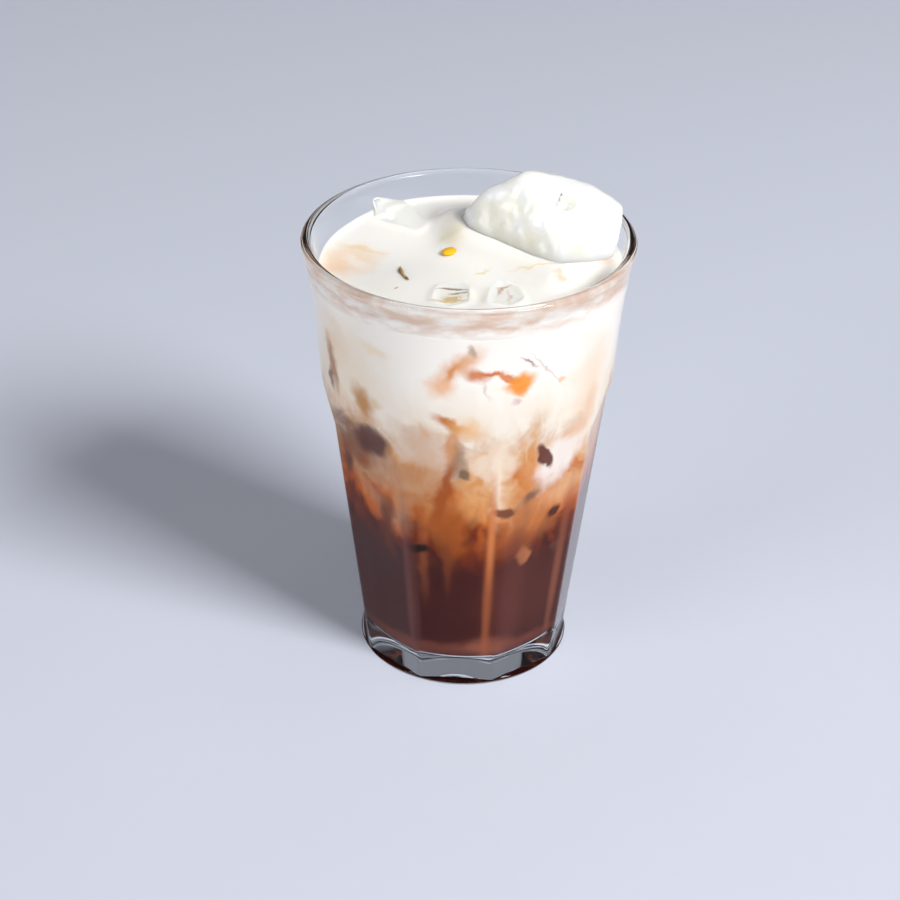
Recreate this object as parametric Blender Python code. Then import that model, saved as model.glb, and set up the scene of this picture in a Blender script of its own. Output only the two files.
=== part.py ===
"""Iced chocolate in a nine-sided tumbler.

The tumbler is one piece of pressed glass: nine flat sides that end in arches
under a round, slightly flared upper body.  It holds dark chocolate at the
bottom, a marbled layer where milk has sunk into it, milk on top, and four
pieces of ice that stand out of the milk.
"""

import math

import bmesh
import bpy
from mathutils import Vector

MM = 0.001

# Tumbler: outside
GLASS_HEIGHT = 124.0 * MM
RIM_RADIUS = 44.0 * MM
SIDES = 9
FIRST_SIDE_TURN = math.radians(-4.2)
BASE_CORNER_RADIUS = 29.1 * MM
CORNER_SLOPE = 0.126
FOOT_RADIUS = 29.2 * MM
FOOT_ROUND = 0.7 * MM
LEDGE_HEIGHT = 1.6 * MM
ARCH_TOP = 85.2 * MM
ARCH_DROP = 7.8 * MM
ARCH_POWER = 2.0
COVE_AT_ARCH_TOP = 7.0 * MM
COVE_AT_CORNER = 3.0 * MM
BODY_PROFILE = (
    (74.0, 38.75),
    (80.0, 39.05),
    (85.0, 39.35),
    (90.0, 39.75),
    (96.0, 40.15),
    (103.0, 40.75),
    (110.0, 41.6),
    (117.0, 42.7),
    (121.2, 43.6),
)

# Tumbler: inside
LIP_ROUND = 1.4 * MM
FLOOR_HEIGHT = 6.4 * MM
FLOOR_ROUND = 5.0 * MM
BORE_PROFILE = (
    (11.4, 25.4),
    (40.0, 29.1),
    (72.0, 33.3),
    (82.0, 35.1),
    (90.0, 36.6),
    (100.0, 37.7),
    (113.5, 39.4),
    (121.2, 40.9),
)

# Drink
GAP = 0.3 * MM
CHOCOLATE_LEVEL = 42.0 * MM
CHOCOLATE_WAVES = ((2, 0.6, 3.0 * MM), (3, -1.1, 1.6 * MM))
MARBLED_LEVEL = 79.0 * MM
MARBLED_WAVES = ((1, -2.0, 3.2 * MM), (3, 0.4, 2.6 * MM))
MILK_LEVEL = 113.6 * MM
MILK_RISE_AT_BACK = 2.6 * MM
MILK_RIPPLE = 0.35 * MM
RIPPLE_LENGTHS = (7.0 * MM, 6.0 * MM)
RIPPLE_STARTS = (0.7, -0.4)
DROP_PLACE = (-4.9 * MM, 8.8 * MM)
DROP_RADII = (2.3 * MM, 1.9 * MM, 0.9 * MM)
FLAKE_PLACE = (-17.4 * MM, -2.8 * MM)
FLAKE_LENGTH = 8.6 * MM
FLAKE_TILT = -0.27
FLAKE_RADIUS = 0.45 * MM
FLAKE_BEND = 0.3
FLAKE_END_THINNESS = 0.5

# How finely round shapes are divided
GLASS_COLUMNS = 72
DRINK_COLUMNS = 48
SURFACE_SHARES = (0.22, 0.45, 0.7, 0.88, 1.0)

# Ice: corners in millimetres, before their edges are rounded
ICE_BLOCK_CORNERS = (
    (15.4, 14.5, 136.4),
    (24.5, 14.5, 134.8),
    (32.5, 14.0, 132.3),
    (39.0, 10.5, 130.6),
    (41.0, 7.0, 129.8),
    (40.6, 3.0, 127.0),
    (38.9, -0.5, 122.6),
    (36.6, -1.0, 116.5),
    (34.6, 1.0, 105.0),
    (33.5, -1.5, 124.8),
    (23.0, -1.0, 127.4),
    (23.5, -5.5, 113.5),
    (22.0, -1.0, 103.0),
    (12.0, 12.0, 134.5),
    (2.4, 15.5, 128.6),
    (-4.0, 24.5, 115.0),
    (-1.5, 14.5, 113.0),
    (1.0, 22.0, 104.0),
    (8.0, 27.0, 126.0),
    (16.5, 25.5, 130.5),
    (33.5, 17.5, 128.0),
    (27.0, 25.0, 112.0),
    (20.0, 24.0, 104.0),
)
ICE_SHARD_CORNERS = (
    (-26.6, 28.6, 121.8),
    (-25.4, 26.6, 120.3),
    (-25.4, 25.6, 112.0),
    (-23.2, 25.8, 106.0),
    (-17.4, 32.8, 118.6),
    (-16.2, 30.0, 118.4),
    (-11.0, 23.4, 116.0),
    (-13.6, 20.4, 115.2),
    (-14.5, 22.5, 106.0),
    (-18.0, 30.5, 107.0),
)
ICE_LEFT_CORNERS = (
    (-9.6, -17.5, 115.8),
    (-8.4, -10.6, 114.9),
    (-1.4, -9.6, 115.5),
    (0.6, -12.8, 116.4),
    (0.2, -19.0, 116.0),
    (-5.0, -21.5, 115.2),
    (-9.0, -19.0, 105.0),
    (-7.5, -9.0, 104.0),
    (0.0, -10.0, 104.5),
    (-0.4, -20.0, 105.5),
)
ICE_RIGHT_CORNERS = (
    (4.4, -19.5, 115.4),
    (5.6, -11.4, 115.8),
    (9.4, -8.4, 116.4),
    (12.6, -10.6, 116.0),
    (14.6, -16.5, 115.2),
    (11.0, -21.0, 115.0),
    (5.6, -18.5, 105.0),
    (6.6, -10.0, 104.0),
    (12.4, -10.5, 104.5),
    (12.0, -19.0, 105.0),
)
ICE_BLOCK_EDGE = 2.2 * MM
SMALL_ICE_EDGE = 0.8 * MM
HOLLOW_PLACE = (23.6 * MM, 7.6 * MM, 132.2 * MM)
HOLLOW_RADII = (3.6 * MM, 2.6 * MM, 1.7 * MM)

# Finishes: base colour, roughness, share of light let through
FINISHES = {
    "pressed_glass": ((0.93, 0.95, 0.95), 0.02, 1.0),
    "dark_chocolate": ((0.045, 0.012, 0.008), 0.25, 0.0),
    "marbled_chocolate": ((0.42, 0.17, 0.09), 0.25, 0.0),
    "cold_milk": ((0.87, 0.82, 0.76), 0.3, 0.0),
    "creamy_ice": ((0.86, 0.86, 0.83), 0.15, 0.3),
    "clear_ice": ((0.88, 0.9, 0.9), 0.08, 0.8),
}


def clear_scene():
    for item in list(bpy.data.objects):
        bpy.data.objects.remove(item, do_unlink=True)


def finish_of(name):
    """The material of a finish, made when it is first asked for."""
    if name in bpy.data.materials:
        return bpy.data.materials[name]
    colour, roughness, clearness = FINISHES[name]
    material = bpy.data.materials.new(name)
    material.use_nodes = True
    shader = material.node_tree.nodes["Principled BSDF"]
    shader.inputs["Base Color"].default_value = (*colour, 1.0)
    shader.inputs["Roughness"].default_value = roughness
    shader.inputs["Metallic"].default_value = 0.0
    shader.inputs["Transmission Weight"].default_value = clearness
    return material


def mesh_object(name, bm, finish, smooth_angle=None):
    """Turns a bmesh into a named object with its finish."""
    bmesh.ops.recalc_face_normals(bm, faces=bm.faces)
    mesh = bpy.data.meshes.new(name)
    bm.to_mesh(mesh)
    bm.free()
    item = bpy.data.objects.new(name, mesh)
    bpy.context.collection.objects.link(item)
    mesh.materials.append(finish_of(finish))
    if smooth_angle is not None:
        mesh.shade_smooth()
        mesh.set_sharp_from_angle(angle=smooth_angle)
    return item


def smooth_profile(points):
    """A radius for any height, on a smooth curve through (height, radius) in mm."""
    heights = [height * MM for height, _ in points]
    radii = [radius * MM for _, radius in points]
    last = len(points) - 1

    def slope(i):
        low, high = max(i - 1, 0), min(i + 1, last)
        return (radii[high] - radii[low]) / (heights[high] - heights[low])

    def radius_at(z):
        z = min(max(z, heights[0]), heights[last])
        i = next(k for k in range(last) if z <= heights[k + 1])
        span = heights[i + 1] - heights[i]
        t = (z - heights[i]) / span
        start = (1 + 2 * t) * (1 - t) ** 2 * radii[i]
        end = t * t * (3 - 2 * t) * radii[i + 1]
        lean = t * (1 - t) ** 2 * slope(i) - t * t * (1 - t) * slope(i + 1)
        return start + end + lean * span

    return radius_at


body_radius = smooth_profile(BODY_PROFILE)
bore_radius = smooth_profile(BORE_PROFILE)


def steps(start, end, count):
    """Values from start to end, both included."""
    return [start + (end - start) * i / count for i in range(count + 1)]


def around(radius, angle, z):
    """A point at a radius; angle 0 faces the front, which is -Y."""
    return Vector((radius * math.sin(angle), -radius * math.cos(angle), z))


def turn_angles(count):
    return [FIRST_SIDE_TURN + 2 * math.pi * i / count for i in range(count)]


def off_centre(angle):
    """How far an angle lies from the middle of its side of the tumbler."""
    side = 2 * math.pi / SIDES
    return (angle - FIRST_SIDE_TURN + side / 2) % side - side / 2


def side_radius(angle, z):
    """Where a flat side of the tumbler lies."""
    corner = BASE_CORNER_RADIUS + CORNER_SLOPE * z
    return corner * math.cos(math.pi / SIDES) / math.cos(off_centre(angle))


def share_of_half_side(angle):
    """0 at the middle of a side, 1 at its corners."""
    return abs(off_centre(angle)) / (math.pi / SIDES)


def arch_height(angle):
    return ARCH_TOP - ARCH_DROP * share_of_half_side(angle) ** ARCH_POWER


def cove_height(angle):
    """Height of the cove that leads from a flat side out to the arch's edge."""
    share = share_of_half_side(angle)
    return COVE_AT_CORNER + (COVE_AT_ARCH_TOP - COVE_AT_CORNER) * (1 - share * share)


def level_ring(angles, radius, z):
    return [around(radius, angle, z) for angle in angles]


def foot_ring(angles, turn):
    """A ring of the thin round foot's edge, which turns from its underside up."""
    radius = FOOT_RADIUS - FOOT_ROUND + FOOT_ROUND * math.cos(turn)
    return level_ring(angles, radius, FOOT_ROUND + FOOT_ROUND * math.sin(turn))


def side_ring(angles, share):
    """A ring of the flat sides, from the foot's ledge at 0 to the cove at 1."""
    ring = []
    for angle in angles:
        top = arch_height(angle) - cove_height(angle)
        z = LEDGE_HEIGHT + (top - LEDGE_HEIGHT) * share
        ring.append(around(side_radius(angle, z), angle, z))
    return ring


def cove_ring(angles, share):
    """A ring of the cove, from the flat sides at 0 to the arches' edge at 1."""
    ring = []
    for angle in angles:
        edge = arch_height(angle)
        z = edge - cove_height(angle) * (1 - share)
        step = body_radius(edge) - side_radius(angle, edge)
        ring.append(around(side_radius(angle, z) + step * share ** 2, angle, z))
    return ring


def body_ring(angles, share):
    """A ring of the round body, from the arches' edge at 0 to the lip at 1."""
    ring = []
    for angle in angles:
        low = arch_height(angle)
        z = low + (GLASS_HEIGHT - 2 * LIP_ROUND - low) * share
        ring.append(around(body_radius(z), angle, z))
    return ring


def lip_ring(angles, turn):
    """A ring of the lip's round, which turns from the outside (0) to the inside."""
    radius = RIM_RADIUS - LIP_ROUND + LIP_ROUND * math.cos(turn)
    z = GLASS_HEIGHT - LIP_ROUND + LIP_ROUND * math.sin(turn)
    return level_ring(angles, radius, z)


def skin(bm, rings):
    """Joins rings of points, each as long as the next, into a closed body."""
    rows = [[bm.verts.new(point) for point in ring] for ring in rings]
    for low, high in zip(rows, rows[1:]):
        count = len(low)
        for i in range(count):
            j = (i + 1) % count
            bm.faces.new((low[i], low[j], high[j], high[i]))
    return rows


def close_flat(bm, row):
    bm.faces.new(row)


def close_with_point(bm, row, point):
    tip = bm.verts.new(point)
    for i in range(len(row)):
        bm.faces.new((row[i], row[(i + 1) % len(row)], tip))


def floor_round(gap, turn):
    """Radius and height on the round between the bore and the floor."""
    top = BORE_PROFILE[0][0] * MM
    centre = bore_radius(top) - FLOOR_ROUND
    radius = centre + (FLOOR_ROUND - gap) * math.cos(turn)
    z = FLOOR_HEIGHT + FLOOR_ROUND - (FLOOR_ROUND - gap) * math.sin(turn)
    return radius, z


def make_tumbler():
    angles = turn_angles(GLASS_COLUMNS)
    rings = [foot_ring(angles, turn) for turn in steps(-math.pi / 2, math.pi / 4, 3)]
    rings += [side_ring(angles, share) for share in steps(0, 1, 2)]
    rings += [cove_ring(angles, share) for share in steps(0, 1, 4)[1:]]
    rings += [body_ring(angles, share) for share in steps(0, 1, 8)[1:]]
    rings += [lip_ring(angles, turn) for turn in steps(0, math.pi, 6)]
    bore_top = GLASS_HEIGHT - 2 * LIP_ROUND
    bore_foot = FLOOR_HEIGHT + FLOOR_ROUND
    for z in steps(bore_top, bore_foot, 10):
        rings.append(level_ring(angles, bore_radius(z), z))
    for turn in steps(0, math.pi / 2, 4)[1:]:
        rings.append(level_ring(angles, *floor_round(0, turn)))
    bm = bmesh.new()
    rows = skin(bm, rings)
    close_flat(bm, rows[0])
    close_flat(bm, rows[-1])
    return mesh_object("tumbler", bm, "pressed_glass", math.radians(12))


def uneven_height(x, y, level, waves):
    """Height of a border that waves around the glass and lies level in its middle."""
    angle = math.atan2(x, -y)
    wave = sum(size * math.sin(count * angle + start) for count, start, size in waves)
    return level + wave * math.hypot(x, y) / bore_radius(level)


def chocolate_top(x, y):
    """The uneven border between the dark chocolate and the marbled layer."""
    return uneven_height(x, y, CHOCOLATE_LEVEL, CHOCOLATE_WAVES)


def marbled_top(x, y):
    """The uneven border between the marbled layer and the milk."""
    return uneven_height(x, y, MARBLED_LEVEL, MARBLED_WAVES)


def milk_top(x, y):
    """The milk's surface, which swells towards the ice at the back."""
    back = min(max(y / bore_radius(MILK_LEVEL), 0.0), 1.0)
    swell = MILK_RISE_AT_BACK * back * back * (3 - 2 * back)
    across = math.sin(x / RIPPLE_LENGTHS[0] + RIPPLE_STARTS[0])
    ripple = across * math.sin(y / RIPPLE_LENGTHS[1] + RIPPLE_STARTS[1])
    return MILK_LEVEL + swell + MILK_RIPPLE * ripple


def surface_rings(angles, height_at, radius_at_wall, lift, shares):
    """Rings of an uneven surface; lift moves it up or down."""
    rings = []
    for share in shares:
        ring = []
        for angle in angles:
            wall = around(radius_at_wall, angle, 0)
            z = height_at(wall.x, wall.y) + lift
            edge = around(bore_radius(z) - GAP, angle, 0) * share
            ring.append(Vector((edge.x, edge.y, height_at(edge.x, edge.y) + lift)))
        rings.append(ring)
    return rings


def wall_rings(low, high, count):
    """Rings between two others that follow the bore."""
    rings = []
    for share in steps(0, 1, count)[1:-1]:
        ring = []
        for bottom, top in zip(low, high):
            z = bottom.z + (top.z - bottom.z) * share
            angle = math.atan2(bottom.x, -bottom.y)
            ring.append(around(bore_radius(z) - GAP, angle, z))
        rings.append(ring)
    return rings


def top_surface(angles, height_at):
    radius = bore_radius(height_at(0, 0))
    return surface_rings(angles, height_at, radius, 0.0, SURFACE_SHARES[::-1])


def under_surface(angles, height_at):
    radius = bore_radius(height_at(0, 0))
    return surface_rings(angles, height_at, radius, GAP, SURFACE_SHARES)


def make_chocolate():
    angles = turn_angles(DRINK_COLUMNS)
    rings = []
    for turn in steps(math.pi / 2, 0, 3):
        rings.append(level_ring(angles, *floor_round(GAP, turn)))
    top = top_surface(angles, chocolate_top)
    rings += wall_rings(rings[-1], top[0], 3) + top
    bm = bmesh.new()
    rows = skin(bm, rings)
    close_flat(bm, rows[0])
    close_with_point(bm, rows[-1], Vector((0, 0, chocolate_top(0, 0))))
    return mesh_object("chocolate", bm, "dark_chocolate", math.radians(40))


def make_layer(name, low_height, high_height, wall_steps, finish):
    """A layer of the drink between two uneven surfaces."""
    angles = turn_angles(DRINK_COLUMNS)
    under = under_surface(angles, low_height)
    top = top_surface(angles, high_height)
    rings = under + wall_rings(under[-1], top[0], wall_steps) + top
    bm = bmesh.new()
    rows = skin(bm, rings)
    close_with_point(bm, rows[0], Vector((0, 0, low_height(0, 0) + GAP)))
    close_with_point(bm, rows[-1], Vector((0, 0, high_height(0, 0))))
    return mesh_object(name, bm, finish, math.radians(40))


def hull_of(corners, grow=0.0):
    """A closed body on corner points in mm, grown outward from its middle."""
    points = [Vector(corner) * MM for corner in corners]
    middle = sum(points, Vector()) / len(points)
    bm = bmesh.new()
    for point in points:
        away = point - middle
        bm.verts.new(point + away.normalized() * grow)
    hull = bmesh.ops.convex_hull(bm, input=bm.verts)
    spare = set(hull["geom_interior"]) | set(hull["geom_unused"])
    bmesh.ops.delete(bm, geom=list(spare), context="VERTS")
    flat = math.radians(4)
    bmesh.ops.dissolve_limit(bm, angle_limit=flat, verts=bm.verts, edges=bm.edges)
    return bm


def round_edges(item, width, segments):
    bevel = item.modifiers.new("rounded_edges", "BEVEL")
    bevel.width = width
    bevel.segments = segments
    bevel.limit_method = "ANGLE"
    bevel.angle_limit = math.radians(8)


def apply_modifiers(item):
    graph = bpy.context.evaluated_depsgraph_get()
    shaped = bpy.data.meshes.new_from_object(item.evaluated_get(graph))
    item.modifiers.clear()
    item.data = shaped


def combine(item, tool, operation):
    """Fuses another closed body to an item, or cuts it out, for good."""
    step = item.modifiers.new(operation.lower(), "BOOLEAN")
    step.operation = operation
    step.solver = "EXACT"
    step.object = tool
    apply_modifiers(item)
    bpy.data.objects.remove(tool, do_unlink=True)


def blob(name, place, radii, finish):
    """An egg-shaped body with half axes along X, Y and Z."""
    bm = bmesh.new()
    bmesh.ops.create_icosphere(bm, subdivisions=2, radius=1.0)
    bmesh.ops.scale(bm, vec=radii, verts=bm.verts)
    bmesh.ops.translate(bm, vec=place, verts=bm.verts)
    return mesh_object(name, bm, finish, math.radians(40))


def make_ice(name, corners, edge, segments, finish):
    item = mesh_object(name, hull_of(corners), finish, math.radians(30))
    round_edges(item, edge, segments)
    apply_modifiers(item)
    return item


def make_ice_block():
    item = make_ice("ice_block", ICE_BLOCK_CORNERS, ICE_BLOCK_EDGE, 3, "creamy_ice")
    combine(item, blob("hollow", HOLLOW_PLACE, HOLLOW_RADII, "creamy_ice"), "DIFFERENCE")
    return item


def make_pocket(name, corners, edge, segments):
    """The room that a piece of ice takes in the milk, a gap wider than the ice."""
    pocket = mesh_object(name, hull_of(corners, 2 * GAP), "clear_ice")
    round_edges(pocket, edge, segments)
    apply_modifiers(pocket)
    return pocket


def make_flake():
    """A curled flake that lies on the milk: a bent rod with round ends."""
    x, y = FLAKE_PLACE
    spine = []
    for share in steps(-0.5, 0.5, 6):
        bend = FLAKE_LENGTH * FLAKE_BEND * share * share
        along = FLAKE_LENGTH * share
        place = (x + bend + FLAKE_TILT * along, y + along)
        spine.append(Vector((*place, milk_top(*place) + FLAKE_RADIUS / 2)))
    rings = []
    for index, centre in enumerate(spine):
        thin = FLAKE_END_THINNESS if index in (0, len(spine) - 1) else 1.0
        ring = []
        for turn in steps(0, 2 * math.pi, 6)[:-1]:
            side = FLAKE_RADIUS * thin * math.cos(turn)
            rise = FLAKE_RADIUS * thin * math.sin(turn)
            ring.append(centre + Vector((side, 0, rise)))
        rings.append(ring)
    bm = bmesh.new()
    rows = skin(bm, rings)
    close_flat(bm, rows[0])
    close_flat(bm, rows[-1])
    return mesh_object("flake", bm, "cold_milk")


def make_milk():
    milk = make_layer("milk", marbled_top, milk_top, 4, "cold_milk")
    x, y = DROP_PLACE
    combine(milk, blob("drop", (x, y, milk_top(x, y)), DROP_RADII, "cold_milk"), "UNION")
    combine(milk, make_flake(), "UNION")
    combine(milk, make_pocket("block_room", ICE_BLOCK_CORNERS, ICE_BLOCK_EDGE, 2), "DIFFERENCE")
    for corners in (ICE_SHARD_CORNERS, ICE_LEFT_CORNERS, ICE_RIGHT_CORNERS):
        combine(milk, make_pocket("small_room", corners, SMALL_ICE_EDGE, 1), "DIFFERENCE")
    return milk


def main():
    clear_scene()
    make_tumbler()
    make_chocolate()
    make_layer("marbled_milk", chocolate_top, marbled_top, 3, "marbled_chocolate")
    make_milk()
    make_ice_block()
    make_ice("ice_shard", ICE_SHARD_CORNERS, SMALL_ICE_EDGE, 2, "clear_ice")
    make_ice("ice_left", ICE_LEFT_CORNERS, SMALL_ICE_EDGE, 2, "clear_ice")
    make_ice("ice_right", ICE_RIGHT_CORNERS, SMALL_ICE_EDGE, 2, "clear_ice")


main()
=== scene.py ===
import math

import bmesh
import bpy
from bpy.props import FloatProperty, FloatVectorProperty, PointerProperty
from mathutils import Matrix, Vector, noise
from mathutils.bvhtree import BVHTree


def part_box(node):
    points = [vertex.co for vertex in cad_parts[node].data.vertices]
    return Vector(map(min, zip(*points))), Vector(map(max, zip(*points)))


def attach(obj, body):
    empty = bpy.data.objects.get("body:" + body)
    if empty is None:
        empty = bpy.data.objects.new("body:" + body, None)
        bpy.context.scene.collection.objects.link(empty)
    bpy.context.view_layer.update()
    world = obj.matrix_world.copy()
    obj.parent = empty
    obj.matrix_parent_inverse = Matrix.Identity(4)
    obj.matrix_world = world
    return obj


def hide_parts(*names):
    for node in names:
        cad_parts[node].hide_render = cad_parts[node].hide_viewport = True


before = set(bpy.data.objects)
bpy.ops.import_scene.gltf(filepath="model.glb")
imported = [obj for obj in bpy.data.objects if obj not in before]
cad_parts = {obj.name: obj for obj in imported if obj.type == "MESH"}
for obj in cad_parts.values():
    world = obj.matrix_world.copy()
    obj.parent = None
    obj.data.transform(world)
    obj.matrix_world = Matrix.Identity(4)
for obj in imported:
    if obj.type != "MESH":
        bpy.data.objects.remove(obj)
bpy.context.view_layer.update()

bl_info = {
    "name": "Iced Chocolate",
    "version": (1, 0, 0),
    "blender": (4, 5, 0),
    "location": "View3D > Sidebar > Iced Chocolate",
    "description": "Dresses an iced chocolate in a nine-sided tumbler",
    "category": "Object",
}

MM = 0.001
BODY = "root"
CLEAR_PIECES = ("ice_shard", "ice_left", "ice_right")
MERGE_DISTANCE = 0.001 * MM

# Tumbler, outside: nine flat sides that end in arches under a round body
GLASS_HEIGHT = 124.0 * MM
RIM_RADIUS = 44.0 * MM
SIDES = 9
HALF_SIDE = math.pi / SIDES
FIRST_SIDE_TURN = math.radians(-4.2)
BASE_CORNER_RADIUS = 29.1 * MM
CORNER_SLOPE = 0.126
CORNER_ROUND = 0.1
FOOT_RADIUS = 29.2 * MM
FOOT_ROUND = 0.7 * MM
LEDGE_HEIGHT = 1.6 * MM
ARCH_TOP = 85.2 * MM
ARCH_DROP = 7.8 * MM
COVE_AT_ARCH_TOP = 7.0 * MM
COVE_AT_CORNER = 3.0 * MM
COVE_TURN = 0.9
COVE_END = COVE_TURN + (1 - COVE_TURN ** 2) / COVE_TURN
BODY_PROFILE = (
    (74.0, 38.75), (80.0, 39.05), (85.0, 39.35), (90.0, 39.75), (96.0, 40.15),
    (103.0, 40.75), (110.0, 41.6), (117.0, 42.7), (121.2, 43.6),
)

# Tumbler, inside
LIP_ROUND = 1.4 * MM
FLOOR_HEIGHT = 6.4 * MM
FLOOR_ROUND = 5.0 * MM
BORE_PROFILE = (
    (11.4, 25.4), (40.0, 29.1), (72.0, 33.3), (82.0, 35.1), (90.0, 36.6),
    (100.0, 37.7), (113.5, 39.4), (121.2, 40.9),
)

# How finely round shapes are divided
COLUMNS_PER_SIDE = 24
COLUMNS_ON_CORNER = 4
DRINK_TURNS = 216
UNDERSIDE_SHARES = (0.0, 0.5, 0.9, 1.0)
ROUGH_TOP_SHARES = (0.0, 0.3, 0.6, 0.85, 1.0)
FINE_TOP_STEPS = 60

# Edges of the drink's layers that bend by more degrees than this stay sharp
LAYER_EDGE_ANGLE = 50

# How the drink fills the glass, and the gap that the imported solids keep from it
REACH = 0.25 * MM
GAP = 0.3 * MM
INSIDE_EDGE = 0.985

# Milk surface
MILK_LEVEL = 113.6 * MM
MILK_RISE_AT_BACK = 2.6 * MM
MILK_RIPPLE = 0.35 * MM
RIPPLE_LENGTHS = (7.0 * MM, 6.0 * MM)
RIPPLE_STARTS = (0.7, -0.4)
MENISCUS_RISE = 0.9 * MM
MENISCUS_WIDTH = 1.1 * MM
HEAP_RISE = 4.2 * MM
HEAP_WIDTH = 5.6 * MM
CLING_RISE = 0.35 * MM
CLING_WIDTH = 1.2 * MM
DROP_PLACE = (-4.9 * MM, 8.8 * MM)
DROP_RADII = (2.3 * MM, 1.9 * MM, 0.9 * MM)
DROP_LEAN = 0.25
DROP_SINK = 0.1 * MM
FLAKE_PLACE = (-17.4 * MM, -2.8 * MM)
FLAKE_LENGTH = 8.6 * MM
FLAKE_TILT = -0.27
FLAKE_RADIUS = 0.45 * MM
FLAKE_BEND = 0.3
FLAKE_FLATNESS = 1.3
FLAKE_SWELL = 0.4
FLAKE_SWELLINGS = 11

# Film of milk on the glass above the milk
FILM_LOW = 112.0 * MM
FILM_HIGH = 122.4 * MM
FILM_IN_WALL = 0.12 * MM
FILM_THICKNESS = 0.2 * MM

# Ice block: how it has melted, and the hollow in its top with its raised rim
BLOCK_GRAIN = 0.6 * MM
MELT_PASSES = 30
MELT_LUMP = 0.6 * MM
MELT_LENGTH = 7.0 * MM
SMALL_LUMP_SHARE = 0.4
SMALL_LUMP_LENGTH = MELT_LENGTH / 2.5
HOLLOW_PLACE = (23.6 * MM, 7.0 * MM)
HOLLOW_DEPTH = 2.4 * MM
HOLLOW_WIDTH = (3.9 * MM, 3.2 * MM)
HOLLOW_RIM = 0.6 * MM
HOLLOW_RIM_SHARE = 1.35
HOLLOW_RIM_WIDTH = 0.3

# Clear materials: refractive index, tint of what passes, roughness
PRESSED_GLASS = (1.5, (0.985, 0.99, 0.99), 0.0)
CLEAR_ICE = (1.31, (0.97, 0.98, 0.98), 0.03)

# Floor: half its side in metres, and how far it lies below the glass's foot
FLOOR_REACH = 2.5
FLOOR_DROP = 0.05 * MM

# Lamps, in metres: where each stands and its side; all face the middle of the glass
KEY_LAMP = ((1.38, -1.12, 1.45), 0.75)
FILL_LAMP = ((-0.1, 0.3, 1.7), 1.6)
SIDE_LAMP = ((-1.7, -1.2, 0.55), 1.2)
LAMP_AIM = (0, 0, 0.06)

# The room's light, and how far back a direction points where the backdrop sets in
ROOM_COLOUR = "#C9CEDC"
BACKDROP_START = 0.3
BACKDROP_FULL = 0.75

# Where the camera stands, from the photo's perspective
CAMERA_LENS = 92.0
CAMERA_SENSOR = 36.0
CAMERA_PLACE = (-4.319 * MM, -544.104 * MM, 382.246 * MM)
CAMERA_PITCH = math.radians(30.745)
CAMERA_ROLL = math.radians(0.643)

# How the marbling swings, in mm, and how much of that at which share of the height,
# with the values at the glass's floor and at its rim apart
MAP_HEIGHT = 120.0
SWING = 15.0
UNREST = ((0.25, 0.12), (0.42, 0.8), (0.66, 1.0), (0.78, 0.3))
UNREST_AT_ENDS = (0.03, 0.12)

# Sizes of wisps and of hanging strands in mm, and how much each is squeezed upright
WISP_SIZE = 9
WISP_SQUEEZE = 0.45
STRAND_SIZE = 3.2
STRAND_SQUEEZE = 0.12
STRAND_SHARE = 0.35

# Stirring: size of the noise in mm, and how far it pushes each coordinate, in its units
MARBLING_STIR = (16, (22.0, 22.0, 26.0))
CLOUD_STIR = (9, (20.0, 12.0, 0.0))
MARK_STIR = (4, (6.0, 4.0, 0.0))
SURFACE_STIR = (5, (6.0, 6.0, 0.0))

# Other patterns, in mm: patches and dents in the ice, streaks in the film, mottling
# of the flake
PATCH_SIZE = 7
DENT_SIZE = 4.5
STREAK_SIZE = 8
STREAK_STRETCH = 2.6
MOTTLE_SIZE = 1.2

# Where the film of milk fades in, along Y in mm, and heights in mm between which it
# thins and, just above the milk, turns from milk to residue
FILM_FRONT = (2.0, -14.0)
FILM_THINNING = (123.5, 117.0)
FILM_ABOVE_MILK = (114.5, 118.0)

# How deep light goes into milk and into creamy ice
MILK_LIGHT_DEPTH = 2 * MM
ICE_LIGHT_DEPTH = 12 * MM

# Above 1, weak reflections get weaker while total ones stay
REFLECTION_POWER = 1.3

# Light crosses from the glass into the drink: the ratio of their indices
GLASS_TO_DRINK = 0.9

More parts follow.
